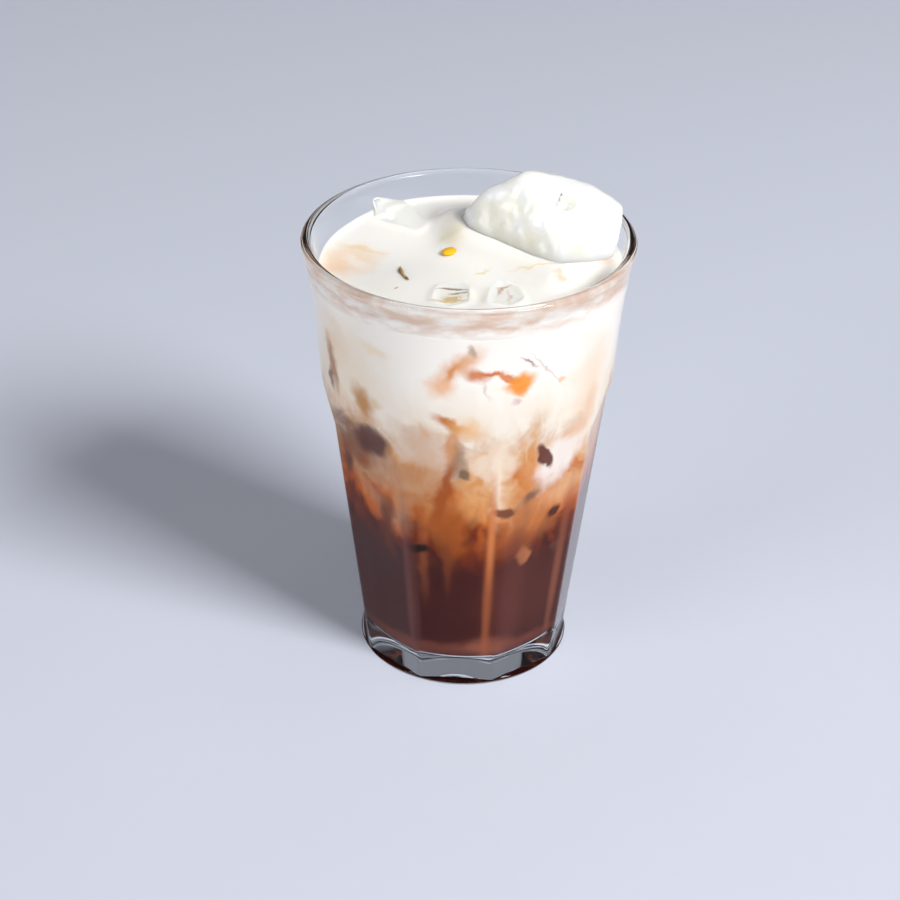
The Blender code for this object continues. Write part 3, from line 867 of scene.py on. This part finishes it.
def make_film(colours):
    """A thin film of milk left on the inside of the glass in front, streaky and thin at its top."""
    material, tree = new_material("film_of_milk_on_glass")
    millimetres = millimetres_of(tree)
    parts = add(tree, "ShaderNodeSeparateXYZ", {0: millimetres})
    flat = add(tree, "ShaderNodeMapping", {"Vector": millimetres, "Scale": (1.0, 1.0, STREAK_STRETCH)})
    streaks = add(tree, "ShaderNodeTexNoise", {"Vector": flat, "Scale": 1 / STREAK_SIZE, "Detail": 4.0})
    tint = add(tree, "ShaderNodeValToRGB", {"Fac": streaks})
    set_stops(tint, ((0.38, colours.residue), (0.66, colours.milk)))
    front = add(
        tree, "ShaderNodeMapRange",
        {"Value": parts.outputs["Y"], "From Min": FILM_FRONT[0], "From Max": FILM_FRONT[1]},
        interpolation_type="SMOOTHSTEP",
    )
    low = add(
        tree, "ShaderNodeMapRange",
        {
            "Value": parts.outputs["Z"], "From Min": FILM_THINNING[0], "From Max": FILM_THINNING[1],
            "To Min": 0.4, "To Max": 1.0,
        },
    )
    patchy = add(
        tree, "ShaderNodeMapRange",
        {"Value": streaks, "From Min": 0.3, "From Max": 0.6, "To Min": 0.85, "To Max": 1.0},
    )
    near_milk = add(
        tree, "ShaderNodeMapRange",
        {"Value": parts.outputs["Z"], "From Min": FILM_ABOVE_MILK[0], "From Max": FILM_ABOVE_MILK[1]},
    )
    blended = add(
        tree, "ShaderNodeMix",
        {"Factor": near_milk, 6: (*colours.wall_milk, 1), 7: tint}, data_type="RGBA",
    )
    thick = add(tree, "ShaderNodeMath", {0: front, 1: low}, operation="MULTIPLY")
    cover = add(tree, "ShaderNodeMath", {0: thick, 1: patchy}, operation="MULTIPLY")
    shader = add(
        tree, "ShaderNodeBsdfPrincipled",
        {"Base Color": blended.outputs[2], "Roughness": 0.5, "Specular IOR Level": 0.0, "Alpha": cover},
    )
    add(tree, "ShaderNodeOutputMaterial", {"Surface": shader})
    return material


def make_syrup():
    """A drop of golden syrup: glossy, with painted shade that deepens its colour towards its outline as seen
    from the eye.
    """
    material, tree = new_material("golden_syrup_drop")
    # Painted shade: darker colour where the drop's surface turns away from the camera
    edge = add(tree, "ShaderNodeLayerWeight", {"Blend": 0.35})
    tint = add(
        tree, "ShaderNodeMix",
        {"Factor": edge.outputs["Facing"], 6: (*linear("#F6BE0C"), 1), 7: (*linear("#D89A10"), 1)},
        data_type="RGBA",
    )
    shader = add(tree, "ShaderNodeBsdfPrincipled", {"Base Color": tint.outputs[2], "Roughness": 0.12})
    add(tree, "ShaderNodeOutputMaterial", {"Surface": shader})
    return material


def make_flake():
    """A curled flake of chocolate under a little milk: tan, mottled, darker in places."""
    material, tree = new_material("chocolate_flake_wet_with_milk")
    millimetres = millimetres_of(tree)
    mottle = add(tree, "ShaderNodeTexNoise", {"Vector": millimetres, "Scale": 1 / MOTTLE_SIZE, "Detail": 2.0})
    tint = add(tree, "ShaderNodeValToRGB", {"Fac": mottle})
    set_stops(tint, ((0.4, linear("#7A5A32")), (0.6, linear("#C9AF7C"))))
    shader = add(tree, "ShaderNodeBsdfPrincipled", {"Base Color": tint, "Roughness": 0.35})
    add(tree, "ShaderNodeOutputMaterial", {"Surface": shader})
    return material


def make_paper(settings):
    """Pale coated paper: matt and evenly bluish grey; its soft shadow under the glass comes from the lamps.
    """
    material, tree = new_material("pale_paper")
    shader = add(
        tree, "ShaderNodeBsdfPrincipled",
        {"Base Color": (*settings.floor, 1), "Roughness": 0.8, "Specular IOR Level": 0.1},
    )
    add(tree, "ShaderNodeOutputMaterial", {"Surface": shader})
    return material


class ICED_OT_tumbler(bpy.types.Operator):
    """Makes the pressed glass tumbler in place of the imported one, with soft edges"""

    bl_idname = "iced.tumbler"
    bl_label = "Tumbler"

    def execute(self, context):
        # From the middle of the foot up the outside, over the lip and down to the inner floor
        rows = [lambda angle: (0.0, 0.0), lambda angle: (FOOT_RADIUS / 2, 0.0)]
        rows += [foot_row(turn) for turn in steps(-math.pi / 2, math.pi / 4, 4)]
        rows += [side_row(share) for share in steps(0, 1, 10)]
        rows += [cove_row(share) for share in steps(0, COVE_TURN, 8)[1:]]
        rows += [cove_row(share) for share in steps(COVE_TURN, COVE_END, 4)[1:]]
        rows += [body_row(share) for share in steps(0, 1, 16)[1:]]
        rows += [lip_row(turn) for turn in steps(0, math.pi, 12)]
        rows += [bore_row(z) for z in steps(GLASS_HEIGHT - 2 * LIP_ROUND, FLOOR_HEIGHT + FLOOR_ROUND, 30)]
        for turn in steps(0, math.pi / 2, 6)[1:]:
            rows.append(bore_row(FLOOR_HEIGHT + FLOOR_ROUND * (1 - math.sin(turn))))
        rows += [bore_row(FLOOR_HEIGHT, share) for share in (0.5, 0.0)]
        bm = spin_rows(rows, SIDES * COLUMNS_PER_SIDE, column_angle)
        bmesh.ops.remove_doubles(bm, verts=bm.verts, dist=MERGE_DISTANCE)
        bmesh.ops.recalc_face_normals(bm, faces=bm.faces)
        # Pressed glass is clear and nearly colourless, with a hard gloss and dark curved edges
        glass = make_clear("pressed_soda_lime_glass", *PRESSED_GLASS)
        piece = piece_from(bm, "tumbler_glass", glass, slot="tumbler", replaces=["tumbler"])
        weighted = piece.modifiers.new("flat_sides_stay_flat", "WEIGHTED_NORMAL")
        weighted.weight = 80
        return {"FINISHED"}


class ICED_OT_drink(bpy.types.Operator):
    """Makes the dark, marbled and milky layers of the drink"""

    bl_idname = "iced.drink"
    bl_label = "Drink"

    def execute(self, context):
        colours = context.scene.drink_colours
        drink = make_drink(colours)
        surface = make_milk_surface(colours)
        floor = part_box("chocolate")[0].z - GAP - REACH

        def bottom(x, y):
            return floor

        def chocolate_top(x, y):
            return top_of(CHOCOLATE_TREE, x, y)

        def marbled_top(x, y):
            return top_of(MARBLED_TREE, x, y)

        dark = layer_bmesh(bottom, chocolate_top, 44, ROUGH_TOP_SHARES)
        unroll(dark)
        piece_from(
            dark, "dark_chocolate", drink, slot="chocolate", replaces=["chocolate"],
            smooth_angle=LAYER_EDGE_ANGLE,
        )
        marbled = layer_bmesh(chocolate_top, marbled_top, 14, ROUGH_TOP_SHARES)
        unroll(marbled)
        piece_from(
            marbled, "marbled_layer", drink, slot="marbled_milk", replaces=["marbled_milk"],
            smooth_angle=LAYER_EDGE_ANGLE,
        )
        closer_at_edge = tuple(1 - (1 - i / FINE_TOP_STEPS) ** 1.4 for i in range(FINE_TOP_STEPS + 1))
        milk = layer_bmesh(marbled_top, milk_top, 20, closer_at_edge)
        unroll(milk, top_material=1)
        piece_from(
            milk, "milk_layer", drink, surface, slot="milk", replaces=["milk"],
            smooth_angle=LAYER_EDGE_ANGLE,
        )
        self.film(colours)
        self.drop()
        self.flake()
        return {"FINISHED"}

    def film(self, colours):
        """A closed thin ring just in the glass's inner face, from the milk nearly to the lip."""
        out = [(bore_radius(z) + FILM_IN_WALL, z) for z in steps(FILM_LOW, FILM_HIGH, 12)]
        back = [(radius - FILM_THICKNESS, z) for radius, z in reversed(out)]
        rows = [lambda angle, place=place: place for place in out + back + out[:1]]
        bm = spin_rows(rows, DRINK_TURNS, lambda turn: turn)
        bmesh.ops.remove_doubles(bm, verts=bm.verts, dist=MERGE_DISTANCE)
        bmesh.ops.recalc_face_normals(bm, faces=bm.faces)
        piece_from(bm, "milk_film", make_film(colours), slot="milk")

    def drop(self):
        """A flat round drop, drawn out a little to one side."""
        bm = bmesh.new()
        bmesh.ops.create_uvsphere(bm, u_segments=48, v_segments=24, radius=1.0)
        bmesh.ops.scale(bm, vec=DROP_RADII, verts=bm.verts)
        for vert in bm.verts:
            vert.co.y += DROP_LEAN * vert.co.x
        x, y = DROP_PLACE
        bmesh.ops.translate(bm, vec=(x, y, milk_top(x, y) - DROP_SINK), verts=bm.verts)
        piece_from(bm, "syrup_drop", make_syrup(), slot="milk")

    def flake(self):
        """A bent, uneven rod with thin ends that lies on the milk."""
        bm = bmesh.new()
        bmesh.ops.create_uvsphere(bm, u_segments=24, v_segments=40, radius=1.0)
        x, y = FLAKE_PLACE
        for vert in bm.verts:
            share = vert.co.z / 2
            along = FLAKE_LENGTH * share
            bend = FLAKE_LENGTH * FLAKE_BEND * share * share
            swell = FLAKE_FLATNESS + FLAKE_SWELL * math.sin(FLAKE_SWELLINGS * share)
            side = vert.co.x * FLAKE_RADIUS * swell
            middle = (x + bend + FLAKE_TILT * along, y + along)
            rise = FLAKE_RADIUS * (0.5 + vert.co.y)
            vert.co = (middle[0] + side, middle[1], milk_top(*middle) + rise)
        piece_from(bm, "chocolate_flake", make_flake(), slot="milk")


class ICED_OT_ice(bpy.types.Operator):
    """Makes the ice that stands out of the milk"""

    bl_idname = "iced.ice"
    bl_label = "Ice"

    def execute(self, context):
        whole = merged_copy("ice_block")
        hull = bmesh.ops.convex_hull(whole, input=whole.verts)
        spare = set(hull["geom_interior"]) | set(hull["geom_unused"]) | set(hull["geom_holes"])
        bmesh.ops.delete(whole, geom=list(spare), context="VERTS")
        block = piece_from(
            whole, "ice_block_creamy", make_creamy_ice(), slot="creamy_ice", replaces=["ice_block"]
        )
        remesh = block.modifiers.new("even", "REMESH")
        remesh.mode = "VOXEL"
        remesh.voxel_size = BLOCK_GRAIN
        remesh.use_smooth_shade = True
        relax = block.modifiers.new("melted", "SMOOTH")
        relax.factor = 0.5
        relax.iterations = MELT_PASSES
        settle(block)
        self.melt(block)
        # Clear ice bends light less than glass, and its melting skin blurs it a little
        clear = make_clear("clear_melting_ice", *CLEAR_ICE)
        for node in CLEAR_PIECES:
            item = piece_from(
                merged_copy(node), node + "_clear", clear, slot="clear_ice", replaces=[node], smooth_angle=30
            )
            subdivision = item.modifiers.new("softened", "SUBSURF")
            subdivision.levels = subdivision.render_levels = 2
        return {"FINISHED"}

    def melt(self, block):
        """Gives the block soft lumps and the hollow with its raised rim."""
        for vert in block.data.vertices:
            small = noise.noise(vert.co / SMALL_LUMP_LENGTH)
            lump = noise.noise(vert.co / MELT_LENGTH) + SMALL_LUMP_SHARE * small
            upward = min(4 * max(vert.normal.z - 0.2, 0.0), 1.0)
            x, y = vert.co.x - HOLLOW_PLACE[0], vert.co.y - HOLLOW_PLACE[1]
            away = math.hypot(x / HOLLOW_WIDTH[0], y / HOLLOW_WIDTH[1])
            vert.co += vert.normal * MELT_LUMP * lump
            vert.co.z -= HOLLOW_DEPTH * math.exp(-(away ** 4)) * upward
            from_rim = (away - HOLLOW_RIM_SHARE) / HOLLOW_RIM_WIDTH
            vert.co.z += HOLLOW_RIM * math.exp(-(from_rim ** 2)) * upward


class ICED_OT_stage(bpy.types.Operator):
    """Makes the pale floor, the soft lamps and the camera"""

    bl_idname = "iced.stage"
    bl_label = "Stage"

    def execute(self, context):
        scene = context.scene
        settings = scene.studio_settings
        self.floor(scene, settings)
        self.lamp("key_lamp", *KEY_LAMP, settings.key_power)
        self.lamp("fill_lamp", *FILL_LAMP, settings.fill_power)
        self.lamp("side_lamp", *SIDE_LAMP, settings.side_power)
        self.room(scene, settings)
        self.camera(scene)
        scene.view_settings.view_transform = "Standard"
        return {"FINISHED"}

    def floor(self, scene, settings):
        """A plain floor just under the glass."""
        bm = bmesh.new()
        bmesh.ops.create_grid(bm, x_segments=1, y_segments=1, size=FLOOR_REACH)
        bmesh.ops.translate(bm, vec=(0, 0, -FLOOR_DROP), verts=bm.verts)
        mesh = bpy.data.meshes.new("floor")
        bm.to_mesh(mesh)
        bm.free()
        mesh.materials.append(make_paper(settings))
        floor = bpy.data.objects.new("floor", mesh)
        scene.collection.objects.link(floor)

    def lamp(self, name, place, size, power):
        """A square soft lamp that faces the glass."""
        light = bpy.data.lights.new(name, "AREA")
        light.size = size
        light.energy = power
        lamp = bpy.data.objects.new(name, light)
        bpy.context.scene.collection.objects.link(lamp)
        lamp.location = place
        aim = Vector(LAMP_AIM) - Vector(place)
        lamp.rotation_euler = aim.to_track_quat("-Z", "Y").to_euler()

    def room(self, scene, settings):
        """Faint light from all round, and a brighter backdrop behind the glass."""
        world = bpy.data.worlds.new("studio")
        world.use_nodes = True
        sky = world.node_tree
        glow = sky.nodes["Background"]
        glow.inputs["Color"].default_value = (*linear(ROOM_COLOUR), 1)
        way = add(sky, "ShaderNodeTexCoord")
        parts = add(sky, "ShaderNodeSeparateXYZ", {0: way.outputs["Generated"]})
        strength = add(
            sky, "ShaderNodeMapRange",
            {
                "Value": parts.outputs["Y"], "From Min": BACKDROP_START, "From Max": BACKDROP_FULL,
                "To Min": settings.room_light, "To Max": settings.backdrop_light,
            },
            interpolation_type="SMOOTHSTEP",
        )
        sky.links.new(strength.outputs[0], glow.inputs["Strength"])
        scene.world = world

    def camera(self, scene):
        """The camera, at the photo's angle."""
        camera = bpy.data.cameras.new("camera")
        camera.lens = CAMERA_LENS
        camera.sensor_width = CAMERA_SENSOR
        camera.sensor_fit = "HORIZONTAL"
        camera.clip_start = 0.01
        camera.clip_end = 50
        camera_object = bpy.data.objects.new("camera", camera)
        scene.collection.objects.link(camera_object)
        turn = Matrix.Rotation(math.pi / 2 - CAMERA_PITCH, 4, "X") @ Matrix.Rotation(CAMERA_ROLL, 4, "Z")
        camera_object.matrix_world = Matrix.Translation(CAMERA_PLACE) @ turn
        scene.camera = camera_object


class ICED_PT_panel(bpy.types.Panel):
    """Lists the steps that dress the iced chocolate"""

    bl_label = "Iced Chocolate"
    bl_idname = "ICED_PT_panel"
    bl_space_type = "VIEW_3D"
    bl_region_type = "UI"
    bl_category = "Iced Chocolate"

    def draw(self, context):
        for group in (context.scene.drink_colours, context.scene.studio_settings):
            for name in group.bl_rna.properties.keys():
                if name not in ("rna_type", "name"):
                    self.layout.prop(group, name)
        for step in STEPS:
            self.layout.operator(step.bl_idname)


STEPS = (ICED_OT_tumbler, ICED_OT_drink, ICED_OT_ice, ICED_OT_stage)
CLASSES = (DrinkColours, StudioSettings, *STEPS, ICED_PT_panel)


def register():
    for item in CLASSES:
        bpy.utils.register_class(item)
    bpy.types.Scene.drink_colours = PointerProperty(type=DrinkColours)
    bpy.types.Scene.studio_settings = PointerProperty(type=StudioSettings)


def unregister():
    del bpy.types.Scene.studio_settings
    del bpy.types.Scene.drink_colours
    for item in reversed(CLASSES):
        bpy.utils.unregister_class(item)


def main():
    register()
    bpy.ops.iced.tumbler()
    bpy.ops.iced.drink()
    bpy.ops.iced.ice()
    bpy.ops.iced.stage()


if __name__ == "__main__":
    main()
